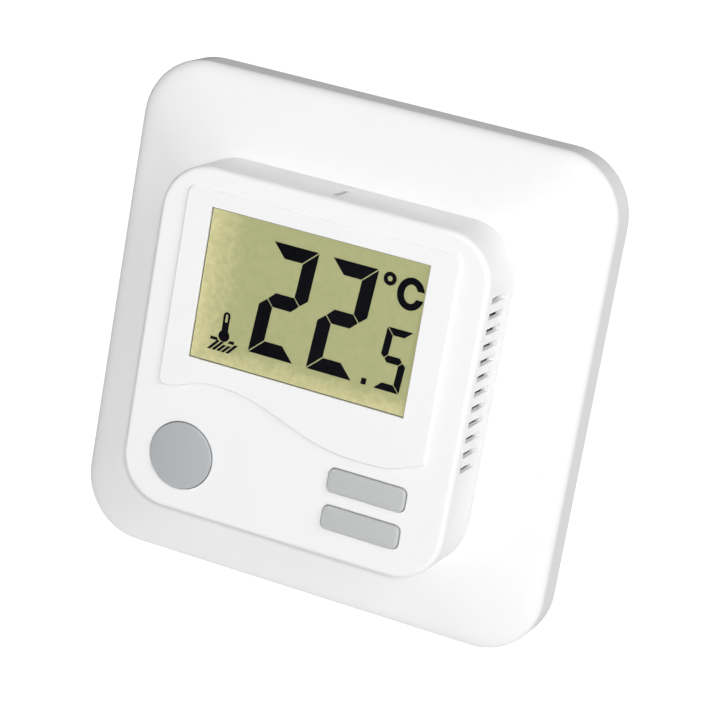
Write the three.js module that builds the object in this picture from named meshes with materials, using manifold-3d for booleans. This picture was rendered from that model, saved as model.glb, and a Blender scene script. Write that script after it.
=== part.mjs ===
// Flush-mounted digital room thermostat: a raised square cover with a display and three buttons, in a
// pillowed outer frame, on a steel mounting plate whose rear housing goes into a round wall box.
//
// Millimetres. X is to the right as the user faces it, Z is up, and the front faces -Y.
// The origin is the centre of the wall plane: the frame and the mounting plate bear on y = 0, the
// cover stands out to negative y, and the rear housing goes into the wall at positive y.

import * as THREE from "three";
import { mergeVertices } from "three/addons/utils/BufferGeometryUtils.js";
import Module from "manifold-3d";

// ---------------------------------------------------------------------------------------------
// Driving dimensions
// ---------------------------------------------------------------------------------------------

const GAP = 0.3; // clearance between neighbouring pieces
const PAST = 1; // how far a cutting shape runs past the surface it breaks through
const MERGE = 0.1; // overlap of shapes that make up one piece

// Outer frame
const FRAME_SIZE = 82;
const FRAME_CORNER_R = 10.5;
const FRAME_SIDE = 4.8; // height of the straight outer side
const SHOULDER_WIDTH = 4.5; // the soft bend between the side and the sloping face
const SHOULDER_TOP = 7.65; // wall plane to the face where the bend ends
const SHOULDER_PULL = { side: 1.8, face: 2.3 }; // how long the bend keeps each one's direction
const FRAME_RISE = 10.4; // wall plane to the face beside the cover
const FRAME_WALL = 1.8;
const FRAME_LIP_BACK = 4.0; // the opening's wall reaches back to here
const RIB_THICKNESS = 1.2;
const RIB_PLACE = 24; // ribs stand this far from the middle of each side
const SOCKET_WALL = 1.0; // round each slot that takes one of the plate's tabs

// Front cover
const COVER_SIZE = 56;
const COVER_CORNER_R = 8;
const COVER_DEPTH = 21.3; // wall plane to the cover's face
const COVER_BACK = 3.0; // wall plane to the back edge of the cover's walls
const COVER_FACE_WALL = 1.8;
const COVER_SIDE_WALL = 1.2;
const COVER_EDGE_R = 0.8;

// Raised panel round the display
const PANEL_RAISE = 0.6;
const PANEL_MARGIN = { left: 4.4, right: 4.9, top: 3.4 }; // from the cover's sides
const PANEL_CORNER_R = 1.2;
const WAVE_START = 19.9; // heights of the wave under the panel are from the cover's bottom
const WAVE_CREST = { fromLeft: 14.5, height: 22.0 };
const WAVE_TROUGH = { fromLeft: 39.5, height: 16.7 };
const WAVE_END = 19.2;
const WAVE_EASE = 0.42; // share of each bend that keeps the bend's own direction

// Display
const WINDOW_MARGIN = { left: 9.05, right: 9.7, top: 6.0, bottom: 25.6 }; // from the cover's sides
const WINDOW_FLUSH = 0.1; // the window's front is this far under the panel's face
const WINDOW_THICKNESS = 0.6;
const WINDOW_LAND = 0.7; // cover face to the pocket that the display's glass goes into
const LCD_MARGIN = 1.35; // glass past the opening on each side
const LCD_THICKNESS = 2.2;
const LCD_LEDGE = 1.5; // the front glass is this much shorter at the top and bottom
const HOLDER_WALL = 1.2;
const BACKLIGHT_THICKNESS = 2.8;
const BACKLIGHT_MARGIN = 1.0; // light guide inside the glass's outline at each end
const ZEBRA_WIDTH = 1.8;
const DISPLAY_STACK = 9.3; // cover face to the display board

// Buttons
const BUTTON_GAP = 0.25;
const BUTTON_PROUD = 0.8;
const BUTTON_TRAVEL = 0.6;
const BUTTON_FLANGE = 0.9;
const BUTTON_FLANGE_THICKNESS = 0.8;
const ROUND_HOLE = { fromLeft: 4.7, fromBottom: 3.65, r: 5.55 };
const BAR_HOLE = { fromRight: 7.0, width: 13.4, height: 4.05, r: 1.1 };
const UP_BAR_FROM_BOTTOM = 10.6;
const DOWN_BAR_FROM_BOTTOM = 4.5;
const STEM_R = 1.6;
const STEM_LENGTH = 1.0;
const TACT_SIZE = 4.6;
const TACT_HEIGHT = 3.5;
const PLUNGER_R = 1.6;
const PLUNGER_PROUD = 1.3;
const PLUNGER_INSIDE = 1.2;

// Vents in the cover's sides and the slot that releases the cover
const VENT_COUNT = 12;
const VENT_PITCH = 2.48;
const VENT_FROM_TOP = 9.6; // cover's top to the middle of the first vent
const VENT_HEIGHT = 1.0;
const VENT_FRONT = 2.0; // cover face to the vents
const VENT_LENGTH = 6.0;
const VENT_WALL = 0.8; // the side walls are this thin at all vents but the top ones
const RELEASE_SLOT = { x: -0.4, width: 1.0, front: 2.9, length: 5.2, wall: 0.5 };

// Display board and what is on it
const BOARD_THICKNESS = 1.6;
const BOARD_CORNER_R = 4.8;
const CHIP = { x: -2.5, fromBottom: 11.0, size: 9.0, height: 1.5 };
const SENSOR = { fromRight: 5.0, fromBottom: 22.0, r: 1.1, height: 3.0, leadR: 0.35 };

// Chassis behind the display board
const CHASSIS_WALL = 1.6;
const CHASSIS_FLOOR = 1.6;
const TONGUE_THICKNESS = 0.8;
const TONGUE_WIDTH = 8;
const TONGUE_FRONT = 2.6; // from the cover's face
const TONGUE_PLACE = 8; // the two lower tongues, left and right of the middle
const TONGUE_ROOT = 2; // how far a tongue runs into the tray's wall

// Mounting plate
const PLATE_THICKNESS = 1.0;
const PLATE_PAST_TABS = 1.5; // plate's edge past the middle of its tabs
const TAB_WIDTH = 4.0;
const TAB_HEIGHT = 4.0;
const TAB_PLACE = 18; // tabs stand this far above and below the middle
const PLATE_OPENING = 29;
const PLATE_OPENING_CORNER_R = 3;
const FIXING_SPACING = 60; // standard wall-box screw spacing
const SLOT_WIDTH = 3.6;
const SLOT_LENGTH = 8.0;

// Rear housing
const HOUSING_SIZE = 44;
const HOUSING_DEPTH = 22; // wall plane to the back of the housing
const HOUSING_CORNER_R = 5.5;
const HOUSING_WALL = 1.8;
const BOSS_R = 2.4;
const BOSS_INSET = 2.6; // housing's inner wall to the middle of a boss
const SCREW_HEAD_R = 2.3;
const SCREW_HEAD_HEIGHT = 1.6;
const SCREW_R = 1.0;
const SCREW_REACH = 9; // behind the wall plane
const SCREW_CROSS = { width: 0.7, length: 2.7, depth: 0.8 };

// Power board and the row of terminals
const POWER_BOARD_Y = 1.5; // wall plane to the board's front
const TERMINAL_COUNT = 6;
const TERMINAL_PITCH = 6.0;
const TERMINAL_HEIGHT = 9.5;
const TERMINAL_CLEARANCE = 2.3; // block's back to the housing's floor
const TERMINAL_CORNER_R = 2.6;
const TERMINAL_SIDE = 1.3; // block past the outer cages
const CAGE = { width: 4.2, height: 4.4, depth: 6.2, wall: 0.8, tappedWall: 1.2 };
const WIRE_HOLE = { width: 3.6, depth: 3.8, front: 2.6 };
const CLAMP_SCREW_R = 1.1;
const CLAMP_HEAD_R = 1.6;
const CLAMP_HEAD_HEIGHT = 1.5;
const CLAMP_SLOT = { width: 0.6, depth: 0.7 };
const CLAMP_REACH = 1.2; // the open clamp's screw stands this far into the wire hole

// Board-to-board connector
const PIN_COUNT = 6;
const PIN_PITCH = 2.54;
const PIN_WIDTH = 0.7;
const CONNECTOR_Z = -12.2;
const CONNECTOR_ENDS = 1.6; // body past the row of pins, both ends together
const SOCKET_HEIGHT = 3.2;
const HEADER_HEIGHT = 2.6;
const HEADER_SUNK = 0.2; // header's front behind the front of the chassis floor
const PIN_REACH = 1.3; // pins stop this far short of the display board's connector seat

// Parts on the power board, each { x, z } at its middle
const RELAY = { x: -5.3, z: -2.0, width: 19.0, height: 15.2, clearance: 1.3 };
const FILM_CAPACITOR = { x: -6.5, z: 12.1, width: 14.0, height: 6.2, depth: 11.5 };
const ELECTROLYTIC = { x: 9.5, z: 12.2, r: 4.0, depth: 12.0 };
const VARISTOR = { x: 11.5, z: 0, r: 4.6, thickness: 3.8, standoff: 1.4, leadR: 0.4, leadOffset: 2.5 };

// ---------------------------------------------------------------------------------------------
// Levels along Y and places that follow from the driving dimensions
// ---------------------------------------------------------------------------------------------

const faceY = -COVER_DEPTH;
const panelY = faceY - PANEL_RAISE;
const coverInnerY = faceY + COVER_FACE_WALL;
const windowY = panelY + WINDOW_FLUSH;
const lcdY = windowY + WINDOW_THICKNESS + GAP;
const pocketY = faceY + WINDOW_LAND;
const glassY = pocketY + GAP;
const lcdBackY = glassY + LCD_THICKNESS;
const boardY = faceY + DISPLAY_STACK;
const boardBackY = boardY + BOARD_THICKNESS;
const tactY = boardY - GAP - TACT_HEIGHT;
const chassisFrontY = boardBackY + GAP;
const chassisBackY = -PLATE_THICKNESS - GAP;
const chassisFloorY = chassisBackY - CHASSIS_FLOOR;
const housingFrontY = GAP;
const housingFloorY = HOUSING_DEPTH - HOUSING_WALL;
const powerBoardBackY = POWER_BOARD_Y + BOARD_THICKNESS;
const partsY = powerBoardBackY + GAP; // front of what stands on the power board

const coverHalf = COVER_SIZE / 2;
const coverInnerHalf = coverHalf - COVER_SIDE_WALL;
const chassisHalf = coverInnerHalf - GAP;
const boardHalf = chassisHalf - TONGUE_THICKNESS - GAP;
const openingHalf = coverHalf + GAP;
const frameHalf = FRAME_SIZE / 2;
const housingInnerHalf = HOUSING_SIZE / 2 - HOUSING_WALL;
const tabX = (openingHalf + frameHalf) / 2; // midway between the frame's opening and its side
const plateHalf = tabX + PLATE_PAST_TABS;

const terminalY = partsY;
const terminalBackY = housingFloorY - TERMINAL_CLEARANCE;
const terminalZ = TERMINAL_HEIGHT / 2 + GAP - housingInnerHalf;
const terminalTopZ = terminalZ + TERMINAL_HEIGHT / 2;

const windowArea = {
  x: (WINDOW_MARGIN.left - WINDOW_MARGIN.right) / 2,
  z: (WINDOW_MARGIN.bottom - WINDOW_MARGIN.top) / 2,
  width: COVER_SIZE - WINDOW_MARGIN.left - WINDOW_MARGIN.right,
  height: COVER_SIZE - WINDOW_MARGIN.top - WINDOW_MARGIN.bottom,
};
const lcdWidth = windowArea.width + 2 * LCD_MARGIN;
const lcdHeight = windowArea.height + 2 * LCD_MARGIN;
const roundX = ROUND_HOLE.fromLeft + ROUND_HOLE.r - coverHalf;
const roundZ = ROUND_HOLE.fromBottom + ROUND_HOLE.r - coverHalf;
const barX = coverHalf - BAR_HOLE.fromRight - BAR_HOLE.width / 2;
const upZ = UP_BAR_FROM_BOTTOM + BAR_HOLE.height / 2 - coverHalf;
const downZ = DOWN_BAR_FROM_BOTTOM + BAR_HOLE.height / 2 - coverHalf;

// ---------------------------------------------------------------------------------------------
// Materials
// ---------------------------------------------------------------------------------------------

function material(color, roughness, metalness = 0) {
  return new THREE.MeshStandardMaterial({ color, roughness, metalness });
}

const WHITE_PLASTIC = material(0xf2f2f0, 0.35);
const GREY_KEY = material(0xb4b6b9, 0.5);
const CLEAR_PANE = material(0xe8ecea, 0.05);
const LCD_GLASS = material(0xb3b684, 0.15);
const BACKLIGHT = material(0xd6dc9a, 0.4);
const ELASTOMER = material(0x4a4c50, 0.8);
const CIRCUIT_BOARD = material(0x2f6b3f, 0.5);
const BLACK_PLASTIC = material(0x202124, 0.5);
const STEEL = material(0xb9bcc0, 0.35, 1);
const BRASS = material(0xc9ad5c, 0.35, 1);
const GREY_PLASTIC = material(0xc9cbcb, 0.5);
const RELAY_PLASTIC = material(0x23406b, 0.45);
const FILM_BOX = material(0xc7b43c, 0.45);
const VARISTOR_COAT = material(0x2a5f9e, 0.4);
const CAN_SLEEVE = material(0x24262b, 0.4);

// ---------------------------------------------------------------------------------------------
// Solids
// ---------------------------------------------------------------------------------------------

const wasm = await Module();
wasm.setup();

function solid(geometry) {
  const bare = geometry.index ? geometry.toNonIndexed() : geometry.clone();
  bare.deleteAttribute("normal");
  bare.deleteAttribute("uv");
  const merged = mergeVertices(bare, 1e-4);
  return new wasm.Manifold(
    new wasm.Mesh({
      numProp: 3,
      vertProperties: new Float32Array(merged.attributes.position.array),
      triVerts: new Uint32Array(merged.index.array),
    }),
  );
}

function joined(...geometries) {
  return geometries.map(solid).reduce((a, b) => a.add(b));
}

function cut(body, ...tools) {
  return tools.map(solid).reduce((a, b) => a.subtract(b), body);
}

function geometryOf(body) {
  const mesh = body.getMesh();
  const geometry = new THREE.BufferGeometry();
  geometry.setAttribute("position", new THREE.BufferAttribute(mesh.vertProperties, 3));
  geometry.setIndex(new THREE.BufferAttribute(mesh.triVerts, 1));
  geometry.computeVertexNormals();
  return geometry;
}

// A box from its two limits along each axis.
function block(x0, x1, y0, y1, z0, z1) {
  const geometry = new THREE.BoxGeometry(x1 - x0, y1 - y0, z1 - z0);
  return geometry.translate((x0 + x1) / 2, (y0 + y1) / 2, (z0 + z1) / 2);
}

// A box centred on (x, z), from y0 to y1.
function post(x, z, width, height, y0, y1) {
  return block(x - width / 2, x + width / 2, y0, y1, z - height / 2, z + height / 2);
}

// A cylinder along Y, from y0 to y1.
function rod(x, z, radius, y0, y1, sides = 16) {
  const geometry = new THREE.CylinderGeometry(radius, radius, y1 - y0, sides);
  return geometry.translate(x, (y0 + y1) / 2, z);
}

function roundedRect(x, z, width, height, radius) {
  const w = width / 2 - radius;
  const h = height / 2 - radius;
  const shape = new THREE.Shape();
  shape.absarc(x + w, z - h, radius, -Math.PI / 2, 0);
  shape.absarc(x + w, z + h, radius, 0, Math.PI / 2);
  shape.absarc(x - w, z + h, radius, Math.PI / 2, Math.PI);
  shape.absarc(x - w, z - h, radius, Math.PI, 1.5 * Math.PI);
  return shape;
}

// An outline in X and Z, given thickness from y0 to y1.
function slab(shape, y0, y1, curveSegments = 3) {
  const geometry = new THREE.ExtrudeGeometry(shape, {
    depth: y1 - y0,
    bevelEnabled: false,
    curveSegments,
  });
  geometry.rotateX(Math.PI / 2); // the outline's y becomes Z and its depth runs to -Y
  return geometry.translate(0, y1, 0);
}

function squareSlab(half, radius, y0, y1, curveSegments) {
  return slab(roundedRect(0, 0, 2 * half, 2 * half, radius), y0, y1, curveSegments);
}

// A skin through equal rounded squares. Each level is { half, radius, y }. A loop of levels closes on
// itself like a picture frame, and otherwise the first and last levels are capped.
function squareLoft(levels, loop, cornerSegments = 4) {
  const rings = levels.map(({ half, radius, y }) =>
    roundedRect(0, 0, 2 * half, 2 * half, radius)
      .getPoints(cornerSegments)
      .map((p) => new THREE.Vector3(p.x, y, p.y)),
  );
  const size = rings[0].length;
  const positions = rings.flat().flatMap((p) => [p.x, p.y, p.z]);
  const faces = [];
  const bands = loop ? rings.length : rings.length - 1;
  for (let i = 0; i < bands; i++) {
    const a = i * size;
    const b = ((i + 1) % rings.length) * size;
    for (let j = 0; j < size; j++) {
      const k = (j + 1) % size;
      faces.push(a + j, b + k, b + j, a + j, a + k, b + k);
    }
  }
  if (!loop) {
    const flat = rings[0].map((p) => new THREE.Vector2(p.x, p.z));
    const last = (rings.length - 1) * size;
    for (const [p, q, r] of THREE.ShapeUtils.triangulateShape(flat, [])) {
      faces.push(p, r, q, last + p, last + q, last + r);
    }
  }
  const geometry = new THREE.BufferGeometry();
  geometry.setAttribute("position", new THREE.Float32BufferAttribute(positions, 3));
  geometry.setIndex(faces);
  return mergeVertices(geometry, 1e-4);
}

// ---------------------------------------------------------------------------------------------
// The object
// ---------------------------------------------------------------------------------------------

const thermostat = new THREE.Group();
thermostat.name = "wall_thermostat";

function place(parent, name, shape, finish) {
  const geometry = shape instanceof THREE.BufferGeometry ? shape : geometryOf(shape);
  const mesh = new THREE.Mesh(geometry, finish);
  mesh.name = name;
  parent.add(mesh);
  return mesh;
}

// ---- Outer frame ----

// Outer side to the opening for the cover.
const ringWidth = frameHalf - openingHalf;

// A level of the frame's skin, at a distance in from the outer side and a height off the wall. The
// corner radius eases from the frame's own to that of the opening.
function frameLevel(inset, height) {
  const share = Math.min(1, inset / ringWidth);
  const openingRadius = COVER_CORNER_R + GAP;
  const radius = FRAME_CORNER_R + (openingRadius - FRAME_CORNER_R) * share;
  return { half: frameHalf - inset, radius, y: -height };
}

// Height of the sloping face off the wall, at a distance in from the outer side.
function frameFace(inset) {
  const slope = (FRAME_RISE - SHOULDER_TOP) / (ringWidth - SHOULDER_WIDTH);
  return SHOULDER_TOP + (inset - SHOULDER_WIDTH) * slope;
}

// The shoulder leaves the side upright and runs smoothly into the sloping face.
function shoulderLevels(steps) {
  const nearFace = SHOULDER_WIDTH - SHOULDER_PULL.face;
  const bend = new THREE.CubicBezierCurve(
    new THREE.Vector2(0, FRAME_SIDE),
    new THREE.Vector2(0, FRAME_SIDE + SHOULDER_PULL.side),
    new THREE.Vector2(nearFace, frameFace(nearFace)),
    new THREE.Vector2(SHOULDER_WIDTH, SHOULDER_TOP),
  );
  return bend.getPoints(steps).map((p) => frameLevel(p.x, p.y));
}

function outerFrame() {
  const lipInset = ringWidth - FRAME_WALL;
  return squareLoft(
    [
      frameLevel(0, 0),
      ...shoulderLevels(6),
      frameLevel(ringWidth, FRAME_RISE),
      frameLevel(ringWidth, FRAME_LIP_BACK),
      frameLevel(lipInset, FRAME_LIP_BACK),
      frameLevel(lipInset, frameFace(lipInset) - FRAME_WALL),
      frameLevel(SHOULDER_WIDTH, SHOULDER_TOP - FRAME_WALL),
      frameLevel(FRAME_WALL, FRAME_SIDE),
      frameLevel(FRAME_WALL, 0),
    ],
    true,
  );
}

// Ribs that centre the frame on the mounting plate, two on each side.
function frameRibs() {
  const inner = plateHalf + GAP;
  const outer = frameHalf - FRAME_WALL / 2;
  const front = -FRAME_SIDE + FRAME_WALL / 2;
  const ribs = [];
  for (const side of [-1, 1]) {
    for (const end of [-1, 1]) {
      const at = end * RIB_PLACE;
      const [a, b] = side > 0 ? [inner, outer] : [-outer, -inner];
      ribs.push(block(a, b, front, 0, at - RIB_THICKNESS / 2, at + RIB_THICKNESS / 2));
      ribs.push(block(at - RIB_THICKNESS / 2, at + RIB_THICKNESS / 2, front, 0, a, b));
    }
  }
  return ribs;
}

// Sockets behind the frame's face grip the four tabs of the mounting plate.
const tabPlaces = [-tabX, tabX].flatMap((x) => [-TAB_PLACE, TAB_PLACE].map((z) => ({ x, z })));
const tabFrontY = -PLATE_THICKNESS - TAB_HEIGHT;

function frameSocket({ x, z }) {
  const width = PLATE_THICKNESS + 2 * (GAP + SOCKET_WALL);
  const height = TAB_WIDTH + 2 * (GAP + SOCKET_WALL);
  const frontY = FRAME_WALL / 2 - frameFace(frameHalf - tabX);
  return post(x, z, width, height, frontY, -PLATE_THICKNESS - GAP);
}

function socketSlot({ x, z }) {
  return post(x, z, PLATE_THICKNESS + 2 * GAP, TAB_WIDTH + 2 * GAP, tabFrontY - GAP, 0);
}

place(
  thermostat,
  "outer_frame",
  cut(
    joined(outerFrame(), ...frameRibs(), ...tabPlaces.map(frameSocket)),
    ...tabPlaces.map(socketSlot),
  ),
  WHITE_PLASTIC,
);

// ---- Front cover and its buttons ----

const cover = new THREE.Group();
thermostat.add(cover);

function coverShell() {
  const levels = [{ half: coverHalf, radius: COVER_CORNER_R, y: -COVER_BACK }];
  const steps = 3;
  for (let i = 0; i <= steps; i++) {
    const angle = (i / steps) * (Math.PI / 2);
    const inset = COVER_EDGE_R * (1 - Math.cos(angle));
    levels.push({
      half: coverHalf - inset,
      radius: COVER_CORNER_R - inset,
      y: faceY + COVER_EDGE_R * (1 - Math.sin(angle)),
    });
  }
  return squareLoft(levels, false);
}

// The panel's outline: straight at the top and sides, with a wave underneath.
function panelShape() {
  const left = PANEL_MARGIN.left - coverHalf;
  const right = coverHalf - PANEL_MARGIN.right;
  const top = coverHalf - PANEL_MARGIN.top;
  const startZ = WAVE_START - coverHalf;
  const crestX = WAVE_CREST.fromLeft - coverHalf;
  const crestZ = WAVE_CREST.height - coverHalf;
  const troughX = WAVE_TROUGH.fromLeft - coverHalf;
  const troughZ = WAVE_TROUGH.height - coverHalf;
  const endZ = WAVE_END - coverHalf;
  const rise = (crestX - left) * WAVE_EASE;
  const fall = (troughX - crestX) * WAVE_EASE;
  const r = PANEL_CORNER_R;
  const shape = new THREE.Shape();
  shape.moveTo(left, top - r);
  shape.lineTo(left, startZ + r);
  shape.quadraticCurveTo(left, startZ, left + r, startZ);
  shape.bezierCurveTo(left + rise, startZ, crestX - rise, crestZ, crestX, crestZ);
  shape.bezierCurveTo(crestX + fall, crestZ, troughX - fall, troughZ, troughX, troughZ);
  shape.quadraticCurveTo((troughX + right) / 2, troughZ, right, endZ);
  shape.lineTo(right, top - r);
  shape.absarc(right - r, top - r, r, 0, Math.PI / 2);
  shape.absarc(left + r, top - r, r, Math.PI / 2, Math.PI);
  return shape;
}

function barShape(z, gap) {
  const { width, height, r } = BAR_HOLE;
  return roundedRect(barX, z, width - 2 * gap, height - 2 * gap, r - gap);
}

// Slots through both side walls, which are thinned inside behind all but the top ones.
function vents() {
  const y0 = faceY + VENT_FRONT;
  const y1 = y0 + VENT_LENGTH;
  const through = 2 * (COVER_SIDE_WALL + PAST);
  const topZ = coverHalf - VENT_FROM_TOP;
  const thinTop = topZ - VENT_PITCH / 2;
  const thinBottom = topZ - (VENT_COUNT - 0.5) * VENT_PITCH;
  const thinHalf = coverHalf - VENT_WALL;
  const cutters = [block(-thinHalf, thinHalf, coverInnerY, y1 + GAP, thinBottom, thinTop)];
  for (let i = 0; i < VENT_COUNT; i++) {
    const z = topZ - i * VENT_PITCH;
    cutters.push(post(-coverHalf, z, through, VENT_HEIGHT, y0, y1));
    cutters.push(post(coverHalf, z, through, VENT_HEIGHT, y0, y1));
  }
  return cutters;
}

// The slot in the top wall, which is thinned behind it.
function releaseSlot() {
  const { x, width, front, length, wall } = RELEASE_SLOT;
  const y0 = faceY + front;
  const y1 = y0 + length;
  const innerZ = coverInnerHalf - PAST;
  return [
    block(x - width / 2, x + width / 2, y0, y1, innerZ, coverHalf + PAST),
    block(x - width, x + width, y0 - width / 2, y1 + width / 2, innerZ, coverHalf - wall),
  ];
}

// The display's glass goes into a pocket behind the window's opening.
function displayOpening() {
  const { x, z, width, height } = windowArea;
  return [
    post(x, z, width, height, panelY - PAST, coverInnerY + PAST),
    post(x, z, lcdWidth + 2 * GAP, lcdHeight + 2 * GAP, pocketY, coverInnerY + PAST),
  ];
}

function frontCover() {
  const innerRadius = COVER_CORNER_R - COVER_SIDE_WALL;
  const cavity = squareSlab(coverInnerHalf, innerRadius, coverInnerY, -COVER_BACK + PAST, 4);
  const panel = slab(panelShape(), panelY, coverInnerY - COVER_FACE_WALL / 2, 6);
  const holeY0 = faceY - PAST;
  const holeY1 = coverInnerY + PAST;
  return cut(
    joined(coverShell(), panel),
    cavity,
    ...displayOpening(),
    ...vents(),
    ...releaseSlot(),
    rod(roundX, roundZ, ROUND_HOLE.r, holeY0, holeY1, 32),
    slab(barShape(upZ, 0), holeY0, holeY1),
    slab(barShape(downZ, 0), holeY0, holeY1),
  );
}

place(cover, "front_cover", frontCover(), WHITE_PLASTIC);

// A key: its face stands a little proud of the cover, a flange behind the cover keeps it in, and a
// stem reaches the switch.
const flangeFrontY = coverInnerY + GAP;
const flangeBackY = flangeFrontY + BUTTON_FLANGE_THICKNESS;
const stemY = flangeBackY + STEM_LENGTH;
const keyFaceY = faceY - BUTTON_PROUD;

function roundKey() {
  const r = ROUND_HOLE.r - BUTTON_GAP;
  return joined(
    rod(roundX, roundZ, r, keyFaceY, flangeFrontY + MERGE, 32),
    rod(roundX, roundZ, r + BUTTON_FLANGE, flangeFrontY, flangeBackY, 32),
    rod(roundX, roundZ, STEM_R, flangeBackY - MERGE, stemY),
  );
}

function barKey(z) {
  return joined(
    slab(barShape(z, BUTTON_GAP), keyFaceY, flangeFrontY + MERGE),
    slab(barShape(z, BUTTON_GAP - BUTTON_FLANGE), flangeFrontY, flangeBackY),
    rod(barX, z, STEM_R, flangeBackY - MERGE, stemY),
  );
}

place(cover, "round_button", roundKey(), GREY_KEY);
place(cover, "up_button", barKey(upZ), GREY_KEY);
place(cover, "down_button", barKey(downZ), GREY_KEY);

// ---- Display board: circuit board, display, switches ----

const display = new THREE.Group();
thermostat.add(display);

place(
  display,
  "display_board",
  squareSlab(boardHalf, BOARD_CORNER_R, boardY, boardBackY),
  CIRCUIT_BOARD,
);

// Two sheets of glass, the front one shorter so that the rear one's edge contacts are free, under a
// polariser that stands in the cover's opening.
function lcdPanel() {
  const { x, z, width, height } = windowArea;
  const middleY = glassY + LCD_THICKNESS / 2;
  return joined(
    post(x, z, width - 2 * GAP, height - 2 * GAP, lcdY, glassY + MERGE),
    post(x, z, lcdWidth, lcdHeight - LCD_LEDGE, glassY, middleY + MERGE),
    post(x, z, lcdWidth, lcdHeight, middleY, lcdBackY),
  );
}

place(display, "lcd_panel", lcdPanel(), LCD_GLASS);

// A clear sheet stuck to the polariser, nearly flush with the cover's panel.
function displayWindow() {
  const { x, z, width, height } = windowArea;
  return post(x, z, width - 2 * GAP, height - 2 * GAP, windowY, windowY + WINDOW_THICKNESS);
}

place(display, "display_window", displayWindow(), CLEAR_PANE);

function lcdHolder() {
  const { x, z } = windowArea;
  const width = lcdWidth + 2 * GAP;
  const height = lcdHeight + 2 * GAP;
  const frontY = coverInnerY + GAP;
  const backY = boardY - GAP;
  const outer = post(x, z, width + 2 * HOLDER_WALL, height + 2 * HOLDER_WALL, frontY, backY);
  return cut(solid(outer), post(x, z, width, height, frontY - PAST, backY + PAST));
}

place(display, "lcd_holder", lcdHolder(), BLACK_PLASTIC);

const zebraOffset = lcdHeight / 2 - ZEBRA_WIDTH / 2;
const guideWidth = lcdWidth - 2 * BACKLIGHT_MARGIN;
place(
  display,
  "backlight_panel",
  post(
    windowArea.x,
    windowArea.z,
    guideWidth,
    lcdHeight - 2 * (ZEBRA_WIDTH + GAP),
    lcdBackY + GAP,
    lcdBackY + GAP + BACKLIGHT_THICKNESS,
  ),
  BACKLIGHT,
);
for (const [name, side] of [
  ["upper", 1],
  ["lower", -1],
]) {
  const z = windowArea.z + side * zebraOffset;
  const strip = post(windowArea.x, z, guideWidth, ZEBRA_WIDTH, lcdBackY + GAP, boardY - GAP);
  place(display, `zebra_strip_${name}`, strip, ELASTOMER);
}

// Tactile switches under the three keys, each with its own plunger.
const KEYS = [
  ["round", roundX, roundZ],
  ["up", barX, upZ],
  ["down", barX, downZ],
];
const plungerY = tactY - PLUNGER_PROUD;

for (const [name, x, z] of KEYS) {
  const body = post(x, z, TACT_SIZE, TACT_SIZE, tactY, boardY - GAP);
  const wellFloorY = tactY + PLUNGER_INSIDE + BUTTON_TRAVEL + GAP;
  const well = rod(x, z, PLUNGER_R + GAP, tactY - PAST, wellFloorY);
  place(display, `tact_switch_${name}`, cut(solid(body), well), BLACK_PLASTIC);
  place(
    display,
    `tact_plunger_${name}`,
    rod(x, z, PLUNGER_R, plungerY, tactY + PLUNGER_INSIDE),
    BLACK_PLASTIC,
  );
}

place(
  display,
  "microcontroller",
  post(
    CHIP.x,
    CHIP.fromBottom - coverHalf,
    CHIP.size,
    CHIP.size,
    boardY - GAP - CHIP.height,
    boardY - GAP,
  ),
  BLACK_PLASTIC,
);

// Air temperature sensor: a bead on its leads beside the vents.
function roomSensor() {
  const x = coverHalf - SENSOR.fromRight;
  const z = SENSOR.fromBottom - coverHalf;
  const beadY = boardY - GAP - SENSOR.height;
  const bead = new THREE.SphereGeometry(SENSOR.r, 10, 7).translate(x, beadY, z);
  const spread = SENSOR.r / 2;
  return joined(
    bead,
    rod(x, z - spread, SENSOR.leadR, beadY, boardY - GAP, 6),
    rod(x, z + spread, SENSOR.leadR, beadY, boardY - GAP, 6),
  );
}

place(display, "room_sensor", roomSensor(), BLACK_PLASTIC);

// ---- Chassis: carries the display board, and its tongues hold the cover ----

const bossX = housingInnerHalf - BOSS_INSET;
const lowerBossZ = terminalTopZ + GAP + BOSS_R;
const bosses = [-bossX, bossX].flatMap((x) => [bossX, lowerBossZ].map((z) => ({ x, z })));
const connectorWidth = PIN_COUNT * PIN_PITCH + CONNECTOR_ENDS;

function chassis() {
  const radius = COVER_CORNER_R - COVER_SIDE_WALL - GAP;
  const innerHalf = chassisHalf - CHASSIS_WALL;
  const tray = squareSlab(chassisHalf, radius, chassisFrontY, chassisBackY);
  const tongueY = faceY + TONGUE_FRONT;
  const outer = chassisHalf;
  const inner = chassisHalf - TONGUE_THICKNESS;
  const holeY0 = chassisFloorY - PAST;
  const holeY1 = chassisBackY + PAST;
  const tongue = (x, side) =>
    block(
      x - TONGUE_WIDTH / 2,
      x + TONGUE_WIDTH / 2,
      tongueY,
      chassisFrontY + TONGUE_ROOT,
      side > 0 ? inner : -outer,
      side > 0 ? outer : -inner,
    );
  const body = joined(tray, tongue(0, 1), tongue(-TONGUE_PLACE, -1), tongue(TONGUE_PLACE, -1));
  return cut(
    body,
    squareSlab(innerHalf, radius - CHASSIS_WALL, chassisFrontY - PAST, chassisFloorY),
    post(0, CONNECTOR_Z, connectorWidth + 4 * GAP, SOCKET_HEIGHT + 4 * GAP, holeY0, holeY1),
    ...bosses.map(({ x, z }) => rod(x, z, SCREW_R + GAP, holeY0, holeY1, 12)),
  );
}

place(thermostat, "chassis", chassis(), BLACK_PLASTIC);

// ---- Mounting plate: bears on the wall round the box ----

function fixingSlot(x, z, upright) {
  const width = upright ? SLOT_WIDTH : SLOT_LENGTH;
  const height = upright ? SLOT_LENGTH : SLOT_WIDTH;
  const shape = roundedRect(x, z, width, height, SLOT_WIDTH / 2 - 0.01); // nearly round ends
  return slab(shape, -PLATE_THICKNESS - PAST, PAST);
}

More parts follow.
